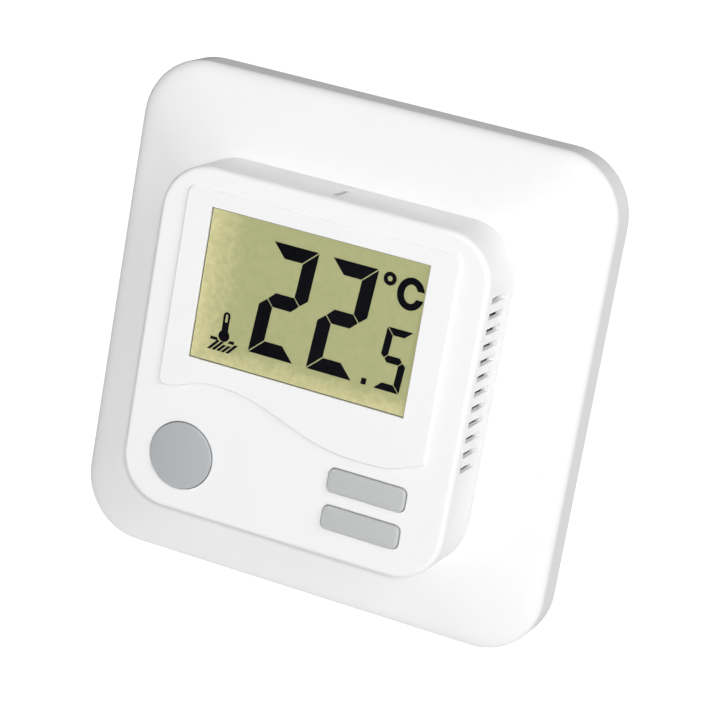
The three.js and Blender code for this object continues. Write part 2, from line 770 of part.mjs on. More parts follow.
// A tab is cut out of the plate towards the middle and bent up, which leaves a window beside it.
function plateTab({ x, z }) {
  return post(x, z, PLATE_THICKNESS, TAB_WIDTH, tabFrontY, -PLATE_THICKNESS / 2);
}

function tabWindow({ x, z }) {
  const away = (PLATE_THICKNESS + TAB_HEIGHT) / 2;
  const height = TAB_WIDTH + 2 * GAP;
  return post(x - Math.sign(x) * away, z, TAB_HEIGHT, height, -PLATE_THICKNESS - PAST, PAST);
}

function mountingPlate() {
  const half = FIXING_SPACING / 2;
  const wall = frameLevel(FRAME_WALL, 0);
  const cornerR = wall.radius - (wall.half - plateHalf); // follows the inside of the frame's wall
  const sheet = squareSlab(plateHalf, cornerR, -PLATE_THICKNESS, 0);
  return cut(
    joined(sheet, ...tabPlaces.map(plateTab)),
    squareSlab(PLATE_OPENING / 2, PLATE_OPENING_CORNER_R, -PLATE_THICKNESS - PAST, PAST),
    fixingSlot(-half, 0, true),
    fixingSlot(half, 0, true),
    fixingSlot(0, -half, false),
    fixingSlot(0, half, false),
    ...tabPlaces.map(tabWindow),
    ...bosses.map(({ x, z }) => rod(x, z, SCREW_R + GAP, -PLATE_THICKNESS - PAST, PAST, 12)),
  );
}

place(thermostat, "mounting_plate", mountingPlate(), STEEL);

// ---- Rear housing with the power board ----

const rear = new THREE.Group();
thermostat.add(rear);

const terminalXs = Array.from(
  { length: TERMINAL_COUNT },
  (_, i) => (i - (TERMINAL_COUNT - 1) / 2) * TERMINAL_PITCH,
);
const wireY = terminalY + WIRE_HOLE.front;

function wireHole(x, z0, z1) {
  return block(
    x - WIRE_HOLE.width / 2,
    x + WIRE_HOLE.width / 2,
    wireY,
    wireY + WIRE_HOLE.depth,
    z0,
    z1,
  );
}

function rearHousing() {
  const half = HOUSING_SIZE / 2;
  const innerRadius = HOUSING_CORNER_R - HOUSING_WALL;
  const shell = cut(
    solid(squareSlab(half, HOUSING_CORNER_R, housingFrontY, HOUSING_DEPTH)),
    squareSlab(housingInnerHalf, innerRadius, housingFrontY - PAST, housingFloorY),
  );
  const pillars = bosses.map(({ x, z }) =>
    rod(x, z, BOSS_R, housingFrontY, housingFloorY + MERGE),
  );
  const body = pillars.map(solid).reduce((a, b) => a.add(b), shell);
  return cut(
    body,
    ...bosses.map(({ x, z }) =>
      rod(x, z, SCREW_R + GAP, housingFrontY - PAST, SCREW_REACH + GAP, 12),
    ),
    ...terminalXs.map((x) =>
      rod(x, terminalZ, CLAMP_HEAD_R + GAP, housingFloorY - PAST, HOUSING_DEPTH + PAST, 12),
    ),
    ...terminalXs.map((x) => wireHole(x, -half - PAST, PAST - housingInnerHalf)),
  );
}

place(rear, "rear_housing", rearHousing(), GREY_PLASTIC);

function powerBoard() {
  const half = housingInnerHalf - GAP;
  const radius = HOUSING_CORNER_R - HOUSING_WALL - GAP;
  const notch = BOSS_R + GAP; // half the width of the notch that lets a boss past
  const y0 = POWER_BOARD_Y - PAST;
  const y1 = powerBoardBackY + PAST;
  const upper = bosses.filter(({ z }) => z > 0);
  return cut(
    solid(squareSlab(half, radius, POWER_BOARD_Y, powerBoardBackY)),
    ...bosses.map(({ x, z }) => post(x + Math.sign(x) * notch, z, 4 * notch, 2 * notch, y0, y1)),
    ...upper.map(({ x, z }) => post(x, z + notch, 2 * notch, 4 * notch, y0, y1)),
  );
}

place(rear, "power_board", powerBoard(), CIRCUIT_BOARD);

// ---- Terminal block: six screw terminals with rising cages ----

const cageY = wireY - CAGE.wall; // front of each cage
const cageBackY = cageY + CAGE.depth;
const cageZ0 = terminalZ - CAGE.height / 2;
const cageZ1 = terminalZ + CAGE.height / 2;

function terminalBlock() {
  const width = (TERMINAL_COUNT - 1) * TERMINAL_PITCH + CAGE.width + 2 * TERMINAL_SIDE;
  const outline = roundedRect(0, terminalZ, width, TERMINAL_HEIGHT, TERMINAL_CORNER_R);
  const body = slab(outline, terminalY, terminalBackY);
  return cut(
    solid(body),
    ...terminalXs.flatMap((x) => [
      post(x, terminalZ, CAGE.width + 2 * GAP, CAGE.height + 2 * GAP, cageY - GAP, cageBackY + GAP),
      rod(x, terminalZ, CLAMP_HEAD_R + GAP, cageBackY, terminalBackY + PAST, 12),
      wireHole(x, terminalZ - TERMINAL_HEIGHT, cageZ0),
    ]),
  );
}

place(rear, "terminal_block", terminalBlock(), GREY_PLASTIC);

function terminalCage(x) {
  const window = block(
    x - CAGE.width / 2 + CAGE.wall,
    x + CAGE.width / 2 - CAGE.wall,
    cageY + CAGE.wall,
    cageBackY - CAGE.tappedWall,
    cageZ0 - PAST,
    cageZ1 + PAST,
  );
  const tapped = rod(x, terminalZ, CLAMP_SCREW_R + GAP, cageY + CAGE.wall, cageBackY + PAST, 12);
  return cut(solid(post(x, terminalZ, CAGE.width, CAGE.height, cageY, cageBackY)), window, tapped);
}

// A slotted clamp screw. Its head is just under the mouth of its hole.
function clampScrew(x) {
  const headBackY = terminalBackY - GAP;
  const headY = headBackY - CLAMP_HEAD_HEIGHT;
  const tipY = wireY + WIRE_HOLE.depth - CLAMP_REACH;
  const slotLength = 2 * (CLAMP_HEAD_R + PAST);
  const slotY = headBackY - CLAMP_SLOT.depth;
  return cut(
    joined(
      rod(x, terminalZ, CLAMP_HEAD_R, headY, headBackY, 12),
      rod(x, terminalZ, CLAMP_SCREW_R, tipY, headY + MERGE, 8),
    ),
    post(x, terminalZ, slotLength, CLAMP_SLOT.width, slotY, headBackY + PAST),
  );
}

terminalXs.forEach((x, i) => {
  place(rear, `terminal_cage_${i + 1}`, terminalCage(x), STEEL);
  place(rear, `terminal_screw_${i + 1}`, clampScrew(x), BRASS);
});

// ---- Parts on the power board ----

place(
  rear,
  "relay",
  post(RELAY.x, RELAY.z, RELAY.width, RELAY.height, partsY, housingFloorY - RELAY.clearance),
  RELAY_PLASTIC,
);
place(
  rear,
  "film_capacitor",
  post(
    FILM_CAPACITOR.x,
    FILM_CAPACITOR.z,
    FILM_CAPACITOR.width,
    FILM_CAPACITOR.height,
    partsY,
    partsY + FILM_CAPACITOR.depth,
  ),
  FILM_BOX,
);
place(
  rear,
  "electrolytic_capacitor",
  rod(ELECTROLYTIC.x, ELECTROLYTIC.z, ELECTROLYTIC.r, partsY, partsY + ELECTROLYTIC.depth),
  CAN_SLEEVE,
);

function varistor() {
  const { x, z, r, thickness, standoff, leadR, leadOffset } = VARISTOR;
  const disc = new THREE.CylinderGeometry(r, r, thickness, 16).rotateZ(Math.PI / 2);
  disc.translate(x, partsY + standoff + r, z);
  const leadBackY = partsY + standoff + r / 2;
  return joined(
    disc,
    rod(x, z - leadOffset, leadR, partsY, leadBackY, 6),
    rod(x, z + leadOffset, leadR, partsY, leadBackY, 6),
  );
}

place(rear, "varistor", varistor(), VARISTOR_COAT);

// ---- Connector between the two boards ----

const pinXs = Array.from(
  { length: PIN_COUNT },
  (_, i) => (i - (PIN_COUNT - 1) / 2) * PIN_PITCH,
);
const headerFrontY = chassisFloorY + HEADER_SUNK;
const socketBackY = headerFrontY - GAP;

function boardHeader() {
  const pinFrontY = boardBackY + GAP + PIN_REACH;
  return joined(
    post(0, CONNECTOR_Z, connectorWidth, HEADER_HEIGHT, headerFrontY, POWER_BOARD_Y - GAP),
    ...pinXs.map((x) =>
      post(x, CONNECTOR_Z, PIN_WIDTH, PIN_WIDTH, pinFrontY, headerFrontY + MERGE),
    ),
  );
}

function boardSocket() {
  const frontY = boardBackY + GAP;
  const hole = PIN_WIDTH + 2 * GAP;
  const holeY = frontY + PIN_REACH - GAP;
  return cut(
    solid(post(0, CONNECTOR_Z, connectorWidth, SOCKET_HEIGHT, frontY, socketBackY)),
    ...pinXs.map((x) => post(x, CONNECTOR_Z, hole, hole, holeY, socketBackY + PAST)),
  );
}

place(rear, "board_header", boardHeader(), BLACK_PLASTIC);
place(display, "board_socket", boardSocket(), BLACK_PLASTIC);

// ---- Screws that hold the chassis and the plate to the rear housing ----

function housingScrew({ x, z }) {
  const headBackY = chassisFloorY - GAP;
  const headY = headBackY - SCREW_HEAD_HEIGHT;
  const { width, length, depth } = SCREW_CROSS;
  return cut(
    joined(
      rod(x, z, SCREW_HEAD_R, headY, headBackY, 12),
      rod(x, z, SCREW_R, headBackY - MERGE, SCREW_REACH, 8),
    ),
    post(x, z, length, width, headY - PAST, headY + depth),
    post(x, z, width, length, headY - PAST, headY + depth),
  );
}

bosses.forEach((boss, i) => {
  place(thermostat, `housing_screw_${i + 1}`, housingScrew(boss), STEEL);
});

export default thermostat;
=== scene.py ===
import math

import bmesh
import bpy
from mathutils import Matrix, Vector
from mathutils.geometry import tessellate_polygon


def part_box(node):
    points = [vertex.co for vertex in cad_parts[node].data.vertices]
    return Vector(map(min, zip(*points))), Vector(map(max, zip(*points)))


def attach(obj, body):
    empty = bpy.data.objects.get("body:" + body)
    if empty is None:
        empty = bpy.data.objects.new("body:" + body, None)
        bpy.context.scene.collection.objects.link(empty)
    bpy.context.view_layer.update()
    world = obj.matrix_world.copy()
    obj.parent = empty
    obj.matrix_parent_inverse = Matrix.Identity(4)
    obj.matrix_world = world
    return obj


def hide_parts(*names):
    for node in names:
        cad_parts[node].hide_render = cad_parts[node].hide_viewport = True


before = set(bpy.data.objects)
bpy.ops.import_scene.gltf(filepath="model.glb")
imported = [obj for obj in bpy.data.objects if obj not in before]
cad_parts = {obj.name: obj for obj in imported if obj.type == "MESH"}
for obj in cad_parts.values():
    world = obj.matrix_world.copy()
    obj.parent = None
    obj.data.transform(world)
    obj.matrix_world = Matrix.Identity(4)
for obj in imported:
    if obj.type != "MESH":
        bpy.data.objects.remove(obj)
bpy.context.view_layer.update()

MM = 0.001

# ---------------------------------------------------------------------------------------------
# Sizes in millimetres. Heights are measured from the wall, and places on the cover's face from
# its lower left corner, unless the comment says otherwise
# ---------------------------------------------------------------------------------------------

# Clearances
GAP = 0.3  # between the CAD's neighbouring pieces
BUTTON_GAP = 0.25  # round a key in the CAD
SEAM = 0.02  # left open where two pieces meet on the outside
KEY_SEAM = 0.12  # left open round a key
OVERRUN = 1.0  # how far a cutting tool runs on past what it cuts
INNER_OVERRUN = 0.5  # and how far a vent's or slot's tool runs on past the inside of its wall

# Outer frame
FRAME_WALL = 1.8
FRAME_CORNER_R = 10.5
FRAME_SIDE = 4.8  # height of the straight part of the side
SHOULDER_WIDTH = 4.5  # outer side to the end of the shoulder's curve
SHOULDER_TOP = 7.65  # height of the face there
SIDE_PULL, FACE_PULL = 1.8, 2.3  # lengths of that curve's handles on the side and on the face
FRAME_RISE = 10.4  # height of the face at the opening
FRAME_RIM_R = 0.05
LIP_BACK = 4.0  # height of the back edge of the opening's lip
RIB_PLACES = (-24, 24)  # along each side, from its middle
RIB_THICKNESS = 1.2
SOCKET_PLACES = (-18, 18)  # above and below the middle
SOCKET_FRONT, SOCKET_BACK = 7.2, 1.3
SOCKET_WIDTH, SOCKET_HEIGHT, SOCKET_WALL = 3.6, 6.6, 1.0

# Front cover
COVER_CORNER_R = 8.0
COVER_EDGE_R = 0.9
FACE_WALL = 1.8
SIDE_WALL = 1.2
POCKET_LAND = 0.7  # depth of the display's pocket behind the cover's face
WINDOW_EDGE_R = 0.1
KEY_HOLE_EDGE_R = 0.15

# Raised panel on the cover's face, whose lower edge is a wave
PANEL_RAISE = 0.6
PANEL_ROOT = 1.0  # how far its solid reaches down into the cover
PANEL_EDGE_R = 0.45
PANEL_CORNER_R = 1.2
PANEL_LEFT, PANEL_RIGHT, PANEL_TOP = 4.4, 4.9, 3.4  # from the cover's sides and its top
WAVE_START, WAVE_END = 19.9, 19.2  # heights at the panel's left and right edge
WAVE_CREST = (14.5, 22.0)
WAVE_TROUGH = (39.5, 16.7)
WAVE_EASE = 0.42  # length of the wave's curve handles, as a share of each stretch

# Vents in the side walls and the release slot in the top wall
VENT_COUNT, VENT_PITCH, VENT_HEIGHT = 12, 2.48, 1.0
VENT_FRONT, VENT_LENGTH = 2.0, 6.0  # from the cover's face
TOP_VENT = 9.6  # cover's top to the middle of the first vent
VENT_WALL = 0.8  # what is left of the side wall behind all vents but the first
SLOT_SIDES = (-0.9, 0.1)  # from the cover's middle
SLOT_ENDS = (2.9, 8.1)  # from the cover's face
SLOT_WALL = 0.3  # what is left of the top wall round the slot
SLOT_MARGIN = 0.5  # how far the thinned wall reaches round the slot

# Keys
FLANGE = 0.8  # thickness
FLANGE_REACH = 0.9
STEM_R = 1.6
STEM_ROOT = 0.05  # how far the stem reaches into the flange
BAR_CORNER_R = 0.85  # corners of the two bar keys

# Display
LCD_LEDGE = 1.5  # how much shorter the front glass is than the back glass
BORDER = 0.28  # dark border round the liquid crystal
PAINTED_LIGHT_REACH_LEFT, PAINTED_LIGHT_REACH_BELOW = 7.0, 3.5  # how far the painted light reaches in from the left and from the bottom edge
PANE_THICKNESS = 0.25
PANE_BEVEL = 0.08
INK_THICKNESS = 0.03
INK_CLEARANCE = 0.01
SLANT = 0.074  # how far the figures lean to the right, per unit of height


def span(node):
    """The CAD node's box as (x0, x1, y0, y1, z0, z1) in millimetres."""
    low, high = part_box(node)
    return tuple(v / MM for pair in zip(low, high) for v in pair)


# ---------------------------------------------------------------------------------------------
# Outlines: lists of (x, z) in millimetres, anticlockwise as the user sees them
# ---------------------------------------------------------------------------------------------


def arc(cx, cz, rx, rz, start, end, steps):
    turns = [math.radians(start + (end - start) * i / steps) for i in range(steps + 1)]
    return [(cx + rx * math.cos(t), cz + rz * math.sin(t)) for t in turns]


def circle(cx, cz, radius, steps=64):
    return arc(cx, cz, radius, radius, 0, 360, steps)[:-1]


def corners(x0, x1, z0, z1):
    return [(x0, z0), (x1, z0), (x1, z1), (x0, z1)]


def rounded(cx, cz, width, height, radius, steps=10):
    w, h = width / 2 - radius, height / 2 - radius
    points = arc(cx + w, cz - h, radius, radius, -90, 0, steps)
    points += arc(cx + w, cz + h, radius, radius, 0, 90, steps)
    points += arc(cx - w, cz + h, radius, radius, 90, 180, steps)
    points += arc(cx - w, cz - h, radius, radius, 180, 270, steps)
    return points


def bezier(p0, p1, p2, p3, steps):
    points = []
    for i in range(1, steps + 1):
        t = i / steps
        u = 1 - t
        weights = (u**3, 3 * u * u * t, 3 * u * t * t, t**3)
        points.append(
            tuple(sum(w * p[k] for w, p in zip(weights, (p0, p1, p2, p3))) for k in (0, 1))
        )
    return points


def inset(outline, distance):
    """The outline moved inwards everywhere, or outwards for a negative distance."""
    count = len(outline)
    moved = []
    for i, (x, z) in enumerate(outline):
        ax, az = outline[i - 1]
        bx, bz = outline[(i + 1) % count]
        before = Vector((x - ax, z - az)).normalized()
        after = Vector((bx - x, bz - z)).normalized()
        normal = Vector((-before.y - after.y, before.x + after.x)).normalized()
        spread = max(0.5, normal.dot(Vector((-before.y, before.x))))
        moved.append((x + normal.x * distance / spread, z + normal.y * distance / spread))
    return moved


# ---------------------------------------------------------------------------------------------
# Solids
# ---------------------------------------------------------------------------------------------


def add_loft(bm, levels, loop=False):
    """Adds a skin through (outline, y) levels with equal counts of points.

    It is closed by flat ends, or, for a loop of levels, it closes on itself.
    """
    rings = [[bm.verts.new((x * MM, y * MM, z * MM)) for x, z in pts] for pts, y in levels]
    count = len(rings[0])
    pairs = list(zip(rings, rings[1:]))
    if loop:
        pairs.append((rings[-1], rings[0]))
    for low, high in pairs:
        for i in range(count):
            j = (i + 1) % count
            bm.faces.new((low[i], low[j], high[j], high[i]))
    if not loop:
        bm.faces.new(list(reversed(rings[0])))
        bm.faces.new(rings[-1])


def add_block(bm, x0, x1, y0, y1, z0, z1):
    outline = corners(x0, x1, z0, z1)
    add_loft(bm, [(outline, y1), (outline, y0)])


def mesh_object(name, bm):
    bmesh.ops.recalc_face_normals(bm, faces=bm.faces[:])
    mesh = bpy.data.meshes.new(name)
    bm.to_mesh(mesh)
    bm.free()
    obj = bpy.data.objects.new(name, mesh)
    bpy.context.scene.collection.objects.link(obj)
    return obj


def lofted(name, levels):
    bm = bmesh.new()
    add_loft(bm, levels)
    return mesh_object(name, bm)


def apply_modifiers(obj):
    bpy.context.view_layer.update()
    graph = bpy.context.evaluated_depsgraph_get()
    mesh = bpy.data.meshes.new_from_object(obj.evaluated_get(graph))
    obj.modifiers.clear()
    obj.data = mesh


def combine(target, tool, operation):
    """Cuts tool out of target, or joins it to target, and removes tool."""
    step = target.modifiers.new("combine", "BOOLEAN")
    step.operation = operation
    step.solver = "EXACT"
    step.object = tool
    apply_modifiers(target)
    bpy.data.objects.remove(tool)


def soften(obj, degrees=32):
    """Smooth shading that keeps sharp edges sharp and flat faces flat."""
    obj.data.shade_smooth()
    obj.data.set_sharp_from_angle(angle=math.radians(degrees))
    weighted = obj.modifiers.new("even_normals", "WEIGHTED_NORMAL")
    weighted.keep_sharp = True
    weighted.weight = 100


def dress(obj, body, material, material_slot, *nodes):
    """Gives a new piece its finish and its body, and hides the CAD nodes it stands for."""
    obj.data.materials.clear()
    obj.data.materials.append(material)
    if nodes:
        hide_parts(*nodes)
    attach(obj, body)


# ---------------------------------------------------------------------------------------------
# Materials
# ---------------------------------------------------------------------------------------------


class Nodes:
    """A material's node tree, with the few node recipes used here."""

    def __init__(self, name):
        self.material = bpy.data.materials.new(name)
        self.material.use_nodes = True
        self.tree = self.material.node_tree
        self.shader = self.tree.nodes["Principled BSDF"]
        self.place = self.new("ShaderNodeTexCoord").outputs["Object"]

    def new(self, kind):
        return self.tree.nodes.new(kind)

    def link(self, output, target):
        self.tree.links.new(output, target)

    def noise(self, scale, detail=2.0, stretch=None):
        """Soft noise with scale patches per metre."""
        texture = self.new("ShaderNodeTexNoise")
        texture.inputs["Scale"].default_value = scale
        texture.inputs["Detail"].default_value = detail
        source = self.place
        if stretch:
            mapping = self.new("ShaderNodeMapping")
            mapping.inputs["Scale"].default_value = stretch
            self.link(source, mapping.inputs["Vector"])
            source = mapping.outputs["Vector"]
        self.link(source, texture.inputs["Vector"])
        return texture.outputs["Fac"]

    def ramp(self, factor, *stops):
        """Colours from (position, colour) stops in rising order."""
        node = self.new("ShaderNodeValToRGB")
        ramp = node.color_ramp
        ramp.elements[0].position, ramp.elements[0].color = stops[0][0], (*stops[0][1], 1)
        ramp.elements[1].position, ramp.elements[1].color = stops[-1][0], (*stops[-1][1], 1)
        for position, color in stops[1:-1]:
            ramp.elements.new(position).color = (*color, 1)
        self.link(factor, node.inputs["Fac"])
        return node.outputs["Color"]

    def range(self, factor, low, high, start=0.3, end=0.7):
        """Turns start to end into low to high, and keeps what lies outside at its ends."""
        node = self.new("ShaderNodeMapRange")
        for key, value in (("From Min", start), ("From Max", end), ("To Min", low), ("To Max", high)):
            node.inputs[key].default_value = value
        self.link(factor, node.inputs["Value"])
        return node.outputs["Result"]

    def math(self, operation, *values):
        node = self.new("ShaderNodeMath")
        node.operation = operation
        for socket, value in zip(node.inputs, values):
            if isinstance(value, (int, float)):
                socket.default_value = value
            else:
                self.link(value, socket)
        return node.outputs[0]

    def bump(self, height, strength, distance):
        node = self.new("ShaderNodeBump")
        node.inputs["Strength"].default_value = strength
        node.inputs["Distance"].default_value = distance
        self.link(height, node.inputs["Height"])
        self.link(node.outputs["Normal"], self.shader.inputs["Normal"])

    def set(self, **values):
        """Sets the shader's own sockets, with _ for a space in a socket's name."""
        for key, value in values.items():
            self.shader.inputs[key.replace("_", " ")].default_value = value


def shade(color, amount):
    """The colour made lighter or darker."""
    return tuple(min(1.0, c * amount) for c in color)


def moulded_plastic(name, color, roughness, grain=0.00001, variation=0.02, grain_scale=2600):
    """Moulded plastic: slow drifts of tone and gloss, and the fine spark texture of its mould."""
    nodes = Nodes(name)
    drift = nodes.noise(55, 3.0)
    tones = ((0.3, shade(color, 1 - variation)), (0.7, shade(color, 1 + variation)))
    nodes.link(nodes.ramp(drift, *tones), nodes.shader.inputs["Base Color"])
    gloss = nodes.range(nodes.noise(420, 4.0), roughness - 0.04, roughness + 0.05)
    nodes.link(gloss, nodes.shader.inputs["Roughness"])
    nodes.bump(nodes.noise(grain_scale, 3.0), 0.35, grain)
    nodes.set(IOR=1.49)
    return nodes.material


def plated_metal(name, color, roughness):
    """Plated sheet or turned metal, with fine rolling marks along one direction."""
    nodes = Nodes(name)
    marks = nodes.noise(900, 4.0, stretch=(0.06, 1.0, 1.0))
    tones = ((0.25, shade(color, 0.86)), (0.75, shade(color, 1.06)))
    nodes.link(nodes.ramp(marks, *tones), nodes.shader.inputs["Base Color"])
    nodes.link(nodes.range(marks, roughness - 0.08, roughness + 0.1), nodes.shader.inputs["Roughness"])
    nodes.bump(marks, 0.25, 0.00002)
    nodes.set(Metallic=1.0)
    return nodes.material


def circuit_board(name, mask, copper):
    """Green solder mask over copper: broad tracks show through as a lighter green."""
    nodes = Nodes(name)
    tracks = nodes.new("ShaderNodeTexBrick")
    tracks.inputs["Scale"].default_value = 260
    tracks.inputs["Mortar Size"].default_value = 0.16
    tracks.inputs["Color1"].default_value = (*mask, 1)
    tracks.inputs["Color2"].default_value = (*shade(mask, 1.2), 1)
    tracks.inputs["Mortar"].default_value = (*copper, 1)
    turned = nodes.new("ShaderNodeMapping")
    turned.inputs["Rotation"].default_value = (math.pi / 2, 0, 0)
    nodes.link(nodes.place, turned.inputs["Vector"])
    nodes.link(turned.outputs["Vector"], tracks.inputs["Vector"])
    nodes.link(tracks.outputs["Color"], nodes.shader.inputs["Base Color"])
    nodes.link(nodes.range(nodes.noise(700), 0.28, 0.45), nodes.shader.inputs["Roughness"])
    nodes.bump(tracks.outputs["Fac"], 0.3, 0.00003)
    return nodes.material


def display_glass(name, window):
    """Yellow-green liquid crystal with a fine dark border.

    It is painted yellower and brighter towards its left and bottom edges as painted light, and the rest,
    towards the top and right, is left in painted shade from the opening's edges.
    """
    x0, x1, z0, z1 = (v * MM for v in window)
    nodes = Nodes(name)
    split = nodes.new("ShaderNodeSeparateXYZ")
    nodes.link(nodes.place, split.inputs["Vector"])
    x, z = split.outputs["X"], split.outputs["Z"]
    # Painted light: strongest at the window's left and bottom edges, fading inwards
    painted_light_left = nodes.range(x, 1, 0, x0, x0 + PAINTED_LIGHT_REACH_LEFT * MM)
    painted_light_below = nodes.range(z, 1, 0, z0, z0 + PAINTED_LIGHT_REACH_BELOW * MM)
    lighting = nodes.math("MAXIMUM", painted_light_left, painted_light_below)
    cloud = nodes.range(nodes.noise(1100, 6.0), 0.02, 0.22, 0.35, 0.65)
    painted_light_and_cloud = nodes.math("MULTIPLY_ADD", lighting, 0.5, cloud)
    fade, edge = BORDER * MM, BORDER / 2 * MM
    border = nodes.range(x, 1, 0, x0 + edge, x0 + fade)
    for place, start, end in (
        (x, x1 - fade, x1 - edge),
        (z, z1 - fade, z1 - edge),
        (z, z0 + fade, z0 + edge),
    ):
        border = nodes.math("MAXIMUM", border, nodes.range(place, 0, 1, start, end))
    # The pale yellow stop at 0.8 is the painted light at the left and bottom edges; the dark stop at 0.88
    # is the border
    stops = (
        (0.0, (0.5, 0.535, 0.25)),
        (0.2, (0.555, 0.56, 0.268)),
        (0.8, (0.93, 0.86, 0.46)),
        (0.88, (0.1, 0.1, 0.075)),
    )
    tone = nodes.ramp(nodes.math("MAXIMUM", painted_light_and_cloud, border), *stops)
    nodes.link(tone, nodes.shader.inputs["Base Color"])
    nodes.link(nodes.range(nodes.noise(500), 0.3, 0.4), nodes.shader.inputs["Roughness"])
    nodes.bump(nodes.noise(3000), 0.1, 0.000005)
    return nodes.material


def clear_pane(name):
    """Clear acrylic, so thin that it only adds its gloss and a trace of haze."""
    nodes = Nodes(name)
    nodes.link(nodes.range(nodes.noise(300, 3.0), 0.04, 0.09), nodes.shader.inputs["Roughness"])
    haze = nodes.ramp(nodes.noise(120), (0.3, (0.02, 0.022, 0.02)), (0.7, (0.04, 0.042, 0.036)))
    nodes.link(haze, nodes.shader.inputs["Base Color"])
    nodes.set(Alpha=0.06, IOR=1.49, Specular_IOR_Level=0.15)
    return nodes.material


white = moulded_plastic("white_plastic", (0.9, 0.9, 0.9), 0.34, grain=0.000004, variation=0.006)
bar_grey = moulded_plastic("bar_key_plastic", (0.515, 0.525, 0.53), 0.48, variation=0.02)
round_grey = moulded_plastic("round_key_plastic", (0.44, 0.455, 0.47), 0.45, variation=0.02)
housing_grey = moulded_plastic("housing_plastic", (0.57, 0.58, 0.58), 0.52, grain=0.00003)
# Painted shade: the inner parts seen through the vents, slot and window are made black so that the inside
# looks dark
inside_shade_black = moulded_plastic("black_plastic", (0.018, 0.018, 0.02), 0.45, variation=0.15)
elastomer = moulded_plastic("elastomer", (0.05, 0.052, 0.058), 0.75, variation=0.3)
relay_blue = moulded_plastic("relay_plastic", (0.02, 0.06, 0.16), 0.4, variation=0.1)
film_yellow = moulded_plastic("film_case_plastic", (0.55, 0.42, 0.05), 0.42, variation=0.05)
varistor_blue = moulded_plastic("varistor_coat", (0.02, 0.12, 0.34), 0.35, grain=0.00006, grain_scale=900)
can_sleeve = moulded_plastic("capacitor_sleeve", (0.02, 0.022, 0.03), 0.3, variation=0.1)
light_guide = moulded_plastic("light_guide", (0.62, 0.66, 0.30), 0.4, variation=0.04)
segment_ink = moulded_plastic("segment_ink", (0.002, 0.002, 0.005), 0.6, variation=0.2)
segment_ink.node_tree.nodes["Principled BSDF"].inputs["Specular IOR Level"].default_value = 0.03
steel = plated_metal("plated_steel", (0.62, 0.63, 0.65), 0.36)
brass = plated_metal("brass", (0.72, 0.53, 0.22), 0.34)
board = circuit_board("circuit_board", (0.02, 0.13, 0.05), (0.04, 0.22, 0.08))

NODE_FINISHES = {
    "backlight_panel": light_guide,
    "display_board": board,
    "power_board": board,
    "mounting_plate": steel,
    "terminal_block": housing_grey,
    "relay": relay_blue,
    "film_capacitor": film_yellow,
    "electrolytic_capacitor": can_sleeve,
    "varistor": varistor_blue,
    "zebra_strip": elastomer,
    "terminal_cage": steel,
    "terminal_screw": brass,
    "housing_screw": steel,
}

# ---------------------------------------------------------------------------------------------
# Outer frame
# ---------------------------------------------------------------------------------------------


def frame_levels(frame_half, opening_half):
    """The frame's skin as (outline, y) levels.

    They run up the side, over the shoulder, down the opening and back along the inside.
    """
    ring = frame_half - opening_half
    slope = (FRAME_RISE - SHOULDER_TOP) / (ring - SHOULDER_WIDTH)

    def face(inward):
        return SHOULDER_TOP + (inward - SHOULDER_WIDTH) * slope

    def level(inward, height):
        share = min(1.0, inward / ring)
        radius = FRAME_CORNER_R + (COVER_CORNER_R + GAP - FRAME_CORNER_R) * share
        side = 2 * (frame_half - inward)
        return rounded(0, 0, side, side, radius, 14), -height

    near_face = SHOULDER_WIDTH - FACE_PULL
    side_end, side_pull = (0.0, FRAME_SIDE), (0.0, FRAME_SIDE + SIDE_PULL)
    face_pull, face_start = (near_face, face(near_face)), (SHOULDER_WIDTH, SHOULDER_TOP)
    levels = [level(0, 0), level(*side_end)]
    levels += [level(*place) for place in bezier(side_end, side_pull, face_pull, face_start, 16)]
    rim_start = ring - FRAME_RIM_R
    for turn in (0, 30, 60, 90):
        turned = math.radians(turn)
        inward = ring - FRAME_RIM_R * (1 - math.sin(turned))
        levels.append(level(inward, face(rim_start) - FRAME_RIM_R * (1 - math.cos(turned))))
    lip = ring - FRAME_WALL
    levels.append(level(ring, LIP_BACK))
    levels.append(level(lip, LIP_BACK))
    levels.append(level(lip, face(lip) - FRAME_WALL))
    levels.append(level(SHOULDER_WIDTH, SHOULDER_TOP - FRAME_WALL))
    levels.append(level(FRAME_WALL, FRAME_SIDE))
    levels.append(level(FRAME_WALL, 0))
    return levels


def add_ribs(bm, near, far):
    """Ribs behind the frame's sides that centre it on the mounting plate."""
    front = FRAME_WALL / 2 - FRAME_SIDE
    half = RIB_THICKNESS / 2
    for place in RIB_PLACES:
        for side in (-1, 1):
            low, high = sorted((side * near, side * far))
            add_block(bm, low, high, front, 0.0, place - half, place + half)
            add_block(bm, place - half, place + half, front, 0.0, low, high)


def add_tab_sockets(bm, tab_x):
    """Four hollow posts behind the frame's face that grip the mounting plate's tabs."""
    back, front = -SOCKET_BACK, -SOCKET_FRONT
    for x in (-tab_x, tab_x):
        for z in SOCKET_PLACES:
            outer = rounded(x, z, SOCKET_WIDTH, SOCKET_HEIGHT, 0.4, 3)
            width, height = SOCKET_WIDTH - 2 * SOCKET_WALL, SOCKET_HEIGHT - 2 * SOCKET_WALL
            inner = rounded(x, z, width, height, 0.1, 3)
            add_loft(bm, [(outer, back), (outer, front), (inner, front), (inner, back)], loop=True)


def outer_frame():
    frame_half = span("outer_frame")[1]
    cover_edge = span("front_cover")[1]
    plate_half = span("mounting_plate")[1]
    bm = bmesh.new()
    add_loft(bm, frame_levels(frame_half, cover_edge + SEAM), loop=True)
    obj = mesh_object("outer_frame_detailed", bm)
    bm = bmesh.new()
    add_ribs(bm, plate_half + GAP, frame_half - FRAME_WALL / 2)
    add_tab_sockets(bm, (frame_half + cover_edge + GAP) / 2)
    combine(obj, mesh_object("ribs_and_sockets", bm), "UNION")
    soften(obj)
    dress(obj, "base", white, "white_shell", "outer_frame")


outer_frame()

# ---------------------------------------------------------------------------------------------
# Front cover
# ---------------------------------------------------------------------------------------------

